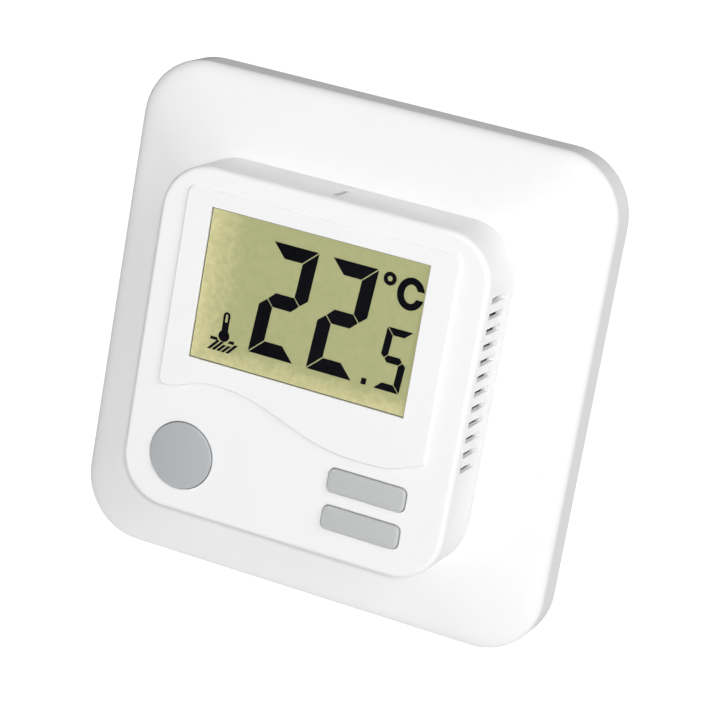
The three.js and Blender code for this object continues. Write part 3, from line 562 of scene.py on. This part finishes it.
cover_half = span("front_cover")[1]
cover_front = span("front_cover")[2] + PANEL_RAISE
cover_back = span("front_cover")[3]
cover_inside = cover_front + FACE_WALL
panel_front = cover_front - PANEL_RAISE
pane = span("display_window")
window = (pane[0] - GAP, pane[1] + GAP, pane[4] - GAP, pane[5] + GAP)


def edge_rounding(radius, steps):
    """(inwards, backwards) places round a quarter circle, from the side to the face."""
    turns = [math.radians(90 * i / steps) for i in range(steps + 1)]
    return [(radius * (1 - math.cos(t)), radius * (1 - math.sin(t))) for t in turns]


def panel_outline():
    """The raised panel: straight at the top and sides, with a wave underneath."""
    left, right, top = PANEL_LEFT - cover_half, cover_half - PANEL_RIGHT, cover_half - PANEL_TOP
    start, end = WAVE_START - cover_half, WAVE_END - cover_half
    crest, trough = (tuple(v - cover_half for v in place) for place in (WAVE_CREST, WAVE_TROUGH))
    rise, fall = (crest[0] - left) * WAVE_EASE, (trough[0] - crest[0]) * WAVE_EASE
    r = PANEL_CORNER_R
    points = arc(left + r, start + r, r, r, 180, 270, 5)
    points += bezier(
        (left + r, start), (left + rise, start), (crest[0] - rise, crest[1]), crest, 12
    )
    points += bezier(
        crest, (crest[0] + fall, crest[1]), (trough[0] - fall, trough[1]), trough, 24
    )
    middle = ((trough[0] + right) / 2, trough[1])
    points += bezier(trough, middle, middle, (right, end), 10)
    points += arc(right - r, top - r, r, r, 0, 90, 5)
    points += arc(left + r, top - r, r, r, 90, 180, 5)
    return points


def flared_cutter(bm, outline, face_y, flare, deep_y):
    """A hole's tool whose mouth opens out by flare, so that the hole has a soft edge."""
    levels = [(inset(outline, -flare), face_y - OVERRUN)]
    for outward, back in reversed(edge_rounding(flare, 3)):
        levels.append((inset(outline, -outward), face_y + back))
    levels.append((outline, deep_y))
    add_loft(bm, levels)


def add_side_openings(bm):
    """Tools for the vents in both side walls and the release slot in the top wall."""
    inside, outside = cover_half - SIDE_WALL - INNER_OVERRUN, cover_half + OVERRUN
    front = cover_front + VENT_FRONT
    for row in range(VENT_COUNT):
        z = cover_half - TOP_VENT - VENT_PITCH * row
        low, high = z - VENT_HEIGHT / 2, z + VENT_HEIGHT / 2
        for side in (-1, 1):
            near, far = sorted((side * inside, side * outside))
            add_block(bm, near, far, front, front + VENT_LENGTH, low, high)
    y0, y1 = (cover_front + end for end in SLOT_ENDS)
    add_block(bm, *SLOT_SIDES, y0, y1, inside, outside)


def add_thinned_walls(bm):
    """Tools that thin the side walls behind all vents but the first, and the wall round the slot."""
    top = cover_half - TOP_VENT - VENT_PITCH / 2
    bottom = top - (VENT_COUNT - 1) * VENT_PITCH
    half = cover_half - VENT_WALL
    vent_back = cover_front + VENT_FRONT + VENT_LENGTH
    add_block(bm, -half, half, cover_inside, vent_back + GAP, bottom, top)
    x0, x1 = SLOT_SIDES[0] - SLOT_MARGIN, SLOT_SIDES[1] + SLOT_MARGIN
    y0, y1 = cover_front + SLOT_ENDS[0] - SLOT_MARGIN, cover_front + SLOT_ENDS[1] + SLOT_MARGIN
    add_block(bm, x0, x1, y0, y1, cover_half - SIDE_WALL - OVERRUN, cover_half - SLOT_WALL)


def key_outline(node, gap):
    """The key's own outline at its face, from its flange's box, moved outwards by gap."""
    x0, x1, _, _, z0, z1 = span(node)
    cx, cz = (x0 + x1) / 2, (z0 + z1) / 2
    width = x1 - x0 - 2 * FLANGE_REACH + 2 * gap
    height = z1 - z0 - 2 * FLANGE_REACH + 2 * gap
    if node == "round_button":
        return circle(cx, cz, width / 2)
    return rounded(cx, cz, width, height, BAR_CORNER_R + gap, 6)


def cover_block():
    """The cover's outside as one block with a rounded edge."""
    side = 2 * cover_half
    levels = [(rounded(0, 0, side, side, COVER_CORNER_R, 14), cover_back)]
    for inward, back in edge_rounding(COVER_EDGE_R, 5):
        smaller = side - 2 * inward
        outline = rounded(0, 0, smaller, smaller, COVER_CORNER_R - inward, 14)
        levels.append((outline, cover_front + back))
    return lofted("front_cover_detailed", levels)


def raised_panel():
    panel = panel_outline()
    levels = [(panel, cover_front + PANEL_ROOT)]
    for inward, back in edge_rounding(PANEL_EDGE_R, 4):
        levels.append((inset(panel, inward), panel_front + back))
    return lofted("panel", levels)


def cavity():
    inner = 2 * (cover_half - SIDE_WALL)
    outline = rounded(0, 0, inner, inner, COVER_CORNER_R - SIDE_WALL, 10)
    return lofted("cavity", [(outline, cover_back + OVERRUN), (outline, cover_inside)])


def openings():
    """One tool for the window, the three key holes, the vents and the release slot."""
    bm = bmesh.new()
    deep = cover_inside + OVERRUN
    flared_cutter(bm, corners(*window), panel_front, WINDOW_EDGE_R, deep)
    for node in ("round_button", "up_button", "down_button"):
        flared_cutter(bm, key_outline(node, BUTTON_GAP), cover_front, KEY_HOLE_EDGE_R, deep)
    add_side_openings(bm)
    return mesh_object("openings", bm)


def thinned_walls():
    bm = bmesh.new()
    add_thinned_walls(bm)
    return mesh_object("thinned_walls", bm)


def display_pocket():
    x0, x1, _, _, z0, z1 = span("lcd_panel")
    outline = corners(x0 - GAP, x1 + GAP, z0 - GAP, z1 + GAP)
    levels = [(outline, cover_inside + OVERRUN), (outline, cover_front + POCKET_LAND)]
    return lofted("pocket", levels)


def front_cover():
    cover = cover_block()
    combine(cover, raised_panel(), "UNION")
    for tool in (cavity, openings, thinned_walls, display_pocket):
        combine(cover, tool(), "DIFFERENCE")
    soften(cover)
    dress(cover, "cover", white, "white_shell", "front_cover")


front_cover()

# ---------------------------------------------------------------------------------------------
# Keys
# ---------------------------------------------------------------------------------------------


def key(node, crown, edge, material):
    """A key with a soft edge and a crowned face, its flange behind the cover and its stem."""
    x0, x1, face, stem_end, z0, z1 = span(node)
    cx, cz = (x0 + x1) / 2, (z0 + z1) / 2
    outline = key_outline(node, BUTTON_GAP - KEY_SEAM)
    flange = key_outline(node, FLANGE_REACH)
    flange_front = cover_inside + GAP
    flange_back = flange_front + FLANGE
    shoulder = face + crown
    levels = [(flange, flange_back), (flange, flange_front), (outline, flange_front)]
    levels += [(inset(outline, inward), shoulder + back) for inward, back in edge_rounding(edge, 4)]
    top = levels[-1][0]
    for i in range(1, 6):
        share = i / 6
        rise = crown * (1 - (1 - share) ** 2)
        ring = [(cx + (x - cx) * (1 - share), cz + (z - cz) * (1 - share)) for x, z in top]
        levels.append((ring, shoulder - rise))
    bm = bmesh.new()
    add_loft(bm, levels)
    stem = circle(cx, cz, STEM_R, 24)
    add_loft(bm, [(stem, stem_end), (stem, flange_back - STEM_ROOT)])
    obj = mesh_object(node + "_detailed", bm)
    soften(obj, 40)
    body = node.replace("button", "key")
    dress(obj, body, material, "grey_key", node)


key("round_button", crown=0.45, edge=0.25, material=round_grey)
key("up_button", crown=0.2, edge=0.4, material=bar_grey)
key("down_button", crown=0.2, edge=0.4, material=bar_grey)

# ---------------------------------------------------------------------------------------------
# Display: pane, liquid crystal and figures
# ---------------------------------------------------------------------------------------------

lcd_front = pane[2] + PANE_THICKNESS + INK_THICKNESS + 3 * INK_CLEARANCE


def in_opening(gap):
    x0, x1, z0, z1 = window
    return corners(x0 + gap, x1 - gap, z0 + gap, z1 - gap)


def display_window():
    """A thin clear sheet over the liquid crystal, with a fine bevel round its front."""
    front = pane[2]
    outline = in_opening(SEAM)
    levels = [
        (outline, front + PANE_THICKNESS),
        (outline, front + PANE_BEVEL),
        (in_opening(SEAM + PANE_BEVEL), front),
    ]
    obj = lofted("display_window_detailed", levels)
    dress(obj, "base", clear_pane("clear_pane"), "clear_pane", "display_window")


def lcd_panel():
    """Two sheets of glass, the front one shorter, under a polariser that stands in the opening."""
    x0, x1, _, back, z0, z1 = span("lcd_panel")
    glass_y = cover_front + POCKET_LAND + GAP
    middle = (glass_y + back) / 2
    full = corners(x0, x1, z0, z1)
    shorter = corners(x0, x1, z0 + LCD_LEDGE / 2, z1 - LCD_LEDGE / 2)
    levels = [(full, back), (full, middle), (shorter, middle), (shorter, glass_y)]
    levels += [(in_opening(SEAM), glass_y), (in_opening(SEAM), lcd_front)]
    obj = lofted("lcd_panel_detailed", levels)
    dress(obj, "base", display_glass("liquid_crystal", window), "lcd_glass", "lcd_panel")


display_window()
lcd_panel()


def add_flat(bm, outline, hole=None):
    """Adds a thin plate of ink, with an optional hole, just in front of the liquid crystal."""
    back = lcd_front - INK_CLEARANCE
    loops = [outline] + ([hole] if hole else [])
    flat = [Vector((x, z, 0)) for loop in loops for x, z in loop]
    vectors = [[Vector((x, z, 0)) for x, z in loop] for loop in loops]
    rows = []
    for y in (back, back - INK_THICKNESS):
        rows.append([bm.verts.new((p.x * MM, y * MM, p.y * MM)) for p in flat])
    for triangle in tessellate_polygon(vectors):
        for row in rows:
            bm.faces.new([row[i] for i in triangle])
    first = 0
    for loop in loops:
        count = len(loop)
        for i in range(count):
            a, b = first + i, first + (i + 1) % count
            bm.faces.new((rows[0][a], rows[0][b], rows[1][b], rows[1][a]))
        first += count


def segments(width, height, thick, gap):
    """The seven bars of a figure, in its own upright frame from (0, 0)."""
    w, h, t, g, m = width, height, thick, gap, height / 2
    half = t / 2
    return {
        "top": [(g, h), (t + g, h - t), (w - t - g, h - t), (w - g, h)],
        "bottom": [(g, 0), (w - g, 0), (w - t - g, t), (t + g, t)],
        "middle": [
            (half + g, m),
            (t + g / 2, m - half),
            (w - t - g / 2, m - half),
            (w - half - g, m),
            (w - t - g / 2, m + half),
            (t + g / 2, m + half),
        ],
        "upper_right": [
            (w, h - g),
            (w - t, h - t - g),
            (w - t, m + half + g),
            (w - half, m + g),
            (w, m + half),
        ],
        "upper_left": [(0, h - g), (0, m + half), (half, m + g), (t, m + half + g), (t, h - t - g)],
        "lower_left": [(0, g), (t, t + g), (t, m - half - g), (half, m - g), (0, m - half)],
        "lower_right": [(w, g), (w, m - half), (w - half, m - g), (w - t, m - half - g), (w - t, t + g)],
    }


TWO = ("top", "upper_right", "middle", "lower_left", "bottom")
FIVE = ("top", "upper_left", "middle", "lower_right", "bottom")


def add_figure(bm, names, x, z, width, height, thick, gap):
    """Adds the named bars of a figure whose lower left corner is at x, z."""
    bars = segments(width, height, thick, gap)
    for name in names:
        add_flat(bm, [(x + u + SLANT * v, z + v) for u, v in bars[name]])


def add_degree_sign(bm, x, z):
    radius, hole = 1.07, 0.42
    add_flat(bm, circle(x, z, radius, 28), list(reversed(circle(x, z, hole, 28))))


def add_letter_c(bm, x, z):
    """A C between two ovals, open to the right."""
    outer = arc(x, z, 2.27, 2.58, 15, 345, 40)
    inner = arc(x, z, 1.12, 1.5, 334, 26, 40)
    add_flat(bm, outer + inner)


def add_thermometer(bm, x, z):
    """A bulb and stem with a clear slot in the stem, standing in a dip of a hatched floor."""
    bulb, stem, stem_top = 0.95, 0.58, z + 3.3
    outline = arc(x, z, bulb, bulb, 126, 414, 22)
    outline += arc(x, stem_top, stem, stem, 0, 180, 8)
    slot = rounded(x, z + 2.85, 0.42, 1.35, 0.2, 4)
    add_flat(bm, outline, list(reversed(slot)))
    dip, ground, thick = 1.24, z - 0.5, 0.5
    left, right = x - 2.25, x + 1.9
    top_turn = math.degrees(math.asin((z - ground) / dip))
    low_turn = math.degrees(math.asin((z - ground + thick) / dip))
    left_dip = arc(x, z, dip, dip, 180 + low_turn, 180 + top_turn, 4)
    add_flat(bm, [(left, ground - thick)] + left_dip + [(left, ground)])
    right_dip = arc(x, z, dip, dip, -top_turn, -low_turn, 4)
    add_flat(bm, right_dip + [(right, ground - thick), (right, ground)])
    add_hatching(bm, x - 2.55, ground - thick, 0.8, 0.55)


def add_hatching(bm, x, top, pitch, width):
    """Five slanted strokes that hang from top. The two under the bulb are shorter."""
    low = top - 1.6
    for i in range(5):
        foot = x + pitch * i
        end = top - 0.4 if i in (2, 3) else top
        lean = 0.9 * (end - low)
        add_flat(bm, [(foot, low), (foot + width, low), (foot + width + lean, end), (foot + lean, end)])


def display_figures():
    """A reading of the room's temperature, with its unit and the sign for floor heating."""
    bm = bmesh.new()
    for x in (-9.2, 0.9):
        add_figure(bm, TWO, x, 1.0, width=7.85, height=18.24, thick=2.3, gap=0.13)
    add_figure(bm, FIVE, 12.35, 0.97, width=4.35, height=10.0, thick=1.15, gap=0.1)
    decimal_point = [(10.25, 1.0), (11.1, 1.0), (11.17, 2.0), (10.32, 2.0)]
    add_flat(bm, decimal_point)
    add_degree_sign(bm, 12.08, 18.31)
    add_letter_c(bm, 15.83, 16.8)
    add_thermometer(bm, -13.6, 2.3)
    obj = mesh_object("display_figures", bm)
    dress(obj, "base", segment_ink, "lcd_glass")


display_figures()

# ---------------------------------------------------------------------------------------------
# Rear housing
# ---------------------------------------------------------------------------------------------


def rear_housing():
    """The CAD housing with softened edges."""
    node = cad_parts["rear_housing"]
    bevel = node.modifiers.new("soft_edges", "BEVEL")
    bevel.width = 0.35 * MM
    bevel.segments = 2
    bevel.limit_method = "ANGLE"
    bevel.angle_limit = math.radians(50)
    bevel.use_clamp_overlap = False
    finish_node("rear_housing", housing_grey)


def finish_node(name, material):
    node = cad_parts[name]
    node.data.materials.clear()
    node.data.materials.append(material)


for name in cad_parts:
    prefix = name.rstrip("_0123456789").removesuffix("_upper").removesuffix("_lower")
    # Parts without a finish of their own get the black that paints the inside's shade
    finish_node(name, NODE_FINISHES.get(prefix, inside_shade_black))
rear_housing()

# ---------------------------------------------------------------------------------------------
# Floor, lights and camera
# ---------------------------------------------------------------------------------------------

FLOOR_HALF, FLOOR_TOP, FLOOR_THICKNESS = 3000, -150, 2  # millimetres

# Each lamp's name, its place and width in metres, and its power in watts
LAMPS = (
    ("front_light", (0.50, -1.13, 0.42), 0.08, 8.0),
    ("top_right_light", (1.0, -0.6, 0.7), 0.9, 8.6),
    ("left_light", (-0.9, -0.9, 0.3), 0.9, 2.2),
    ("back_light", (0.0, 1.4, -0.02), 0.4, 4.0),
)

# The camera's place in metres, and which way its right side, top and back point
CAMERA_PLACE = (0.16177, -0.41832, 0.12228)
CAMERA_RIGHT = (0.90199, 0.39798, 0.1674)
CAMERA_UP = (-0.2561, 0.18103, 0.94955)
CAMERA_BACK = (0.34759, -0.89936, 0.26521)
CAMERA_LENS = 146.2


def floor():
    """A pale floor that the camera sees and that no surface of the object reflects."""
    bm = bmesh.new()
    half = FLOOR_HALF
    add_block(bm, -half, half, -half, half, FLOOR_TOP - FLOOR_THICKNESS, FLOOR_TOP)
    obj = mesh_object("studio_floor", bm)
    nodes = Nodes("pale_floor")
    tones = nodes.ramp(nodes.noise(3), (0.3, (0.93, 0.93, 0.93)), (0.7, (0.96, 0.96, 0.96)))
    nodes.link(tones, nodes.shader.inputs["Base Color"])
    nodes.link(nodes.range(nodes.noise(8), 0.7, 0.8), nodes.shader.inputs["Roughness"])
    nodes.set(Emission_Color=(1, 1, 1, 1), Emission_Strength=0.85)
    obj.data.materials.append(nodes.material)
    obj.visible_diffuse = False
    obj.visible_glossy = False


def soft_light(name, place, size, power):
    """A round lamp at place that shines on the middle of the object."""
    light = bpy.data.lights.new(name, "AREA")
    light.shape = "DISK"
    light.size = size
    light.energy = power
    obj = bpy.data.objects.new(name, light)
    obj.location = place
    obj.rotation_mode = "QUATERNION"
    obj.rotation_quaternion = (-Vector(place)).to_track_quat("-Z", "Y")
    bpy.context.scene.collection.objects.link(obj)


def studio_air(even, bounce):
    """Even light from all round, with more of it thrown back up from below, in a white surround."""
    world = bpy.data.worlds.new("studio")
    world.use_nodes = True
    tree = world.node_tree
    air = tree.nodes["Background"]
    air.inputs["Color"].default_value = (1, 1, 1, 1)
    place = tree.nodes.new("ShaderNodeTexCoord")
    split = tree.nodes.new("ShaderNodeSeparateXYZ")
    tree.links.new(place.outputs["Generated"], split.inputs["Vector"])
    below = tree.nodes.new("ShaderNodeMapRange")
    below.inputs["From Min"].default_value = 0
    below.inputs["From Max"].default_value = -1
    below.inputs["To Min"].default_value = even
    below.inputs["To Max"].default_value = even + bounce
    tree.links.new(split.outputs["Z"], below.inputs["Value"])
    tree.links.new(below.outputs["Result"], air.inputs["Strength"])
    surround = tree.nodes.new("ShaderNodeBackground")
    surround.inputs["Color"].default_value = (1, 1, 1, 1)
    surround.inputs["Strength"].default_value = 1.0
    seen = tree.nodes.new("ShaderNodeLightPath")
    mix = tree.nodes.new("ShaderNodeMixShader")
    tree.links.new(seen.outputs["Is Camera Ray"], mix.inputs["Fac"])
    tree.links.new(air.outputs["Background"], mix.inputs[1])
    tree.links.new(surround.outputs["Background"], mix.inputs[2])
    tree.links.new(mix.outputs["Shader"], tree.nodes["World Output"].inputs["Surface"])
    bpy.context.scene.world = world


def camera():
    """Seen from the front right and above, with the object leaning clockwise in the view."""
    data = bpy.data.cameras.new("camera")
    data.sensor_width = 36
    data.lens = CAMERA_LENS
    data.clip_start = 0.01
    obj = bpy.data.objects.new("camera", data)
    turned = Matrix((CAMERA_RIGHT, CAMERA_UP, CAMERA_BACK)).transposed().to_4x4()
    obj.matrix_world = Matrix.Translation(CAMERA_PLACE) @ turned
    bpy.context.scene.collection.objects.link(obj)
    bpy.context.scene.camera = obj


floor()
studio_air(even=0.16, bounce=1.0)
for lighting in LAMPS:
    soft_light(*lighting)
camera()
bpy.context.scene.view_settings.view_transform = "Standard"
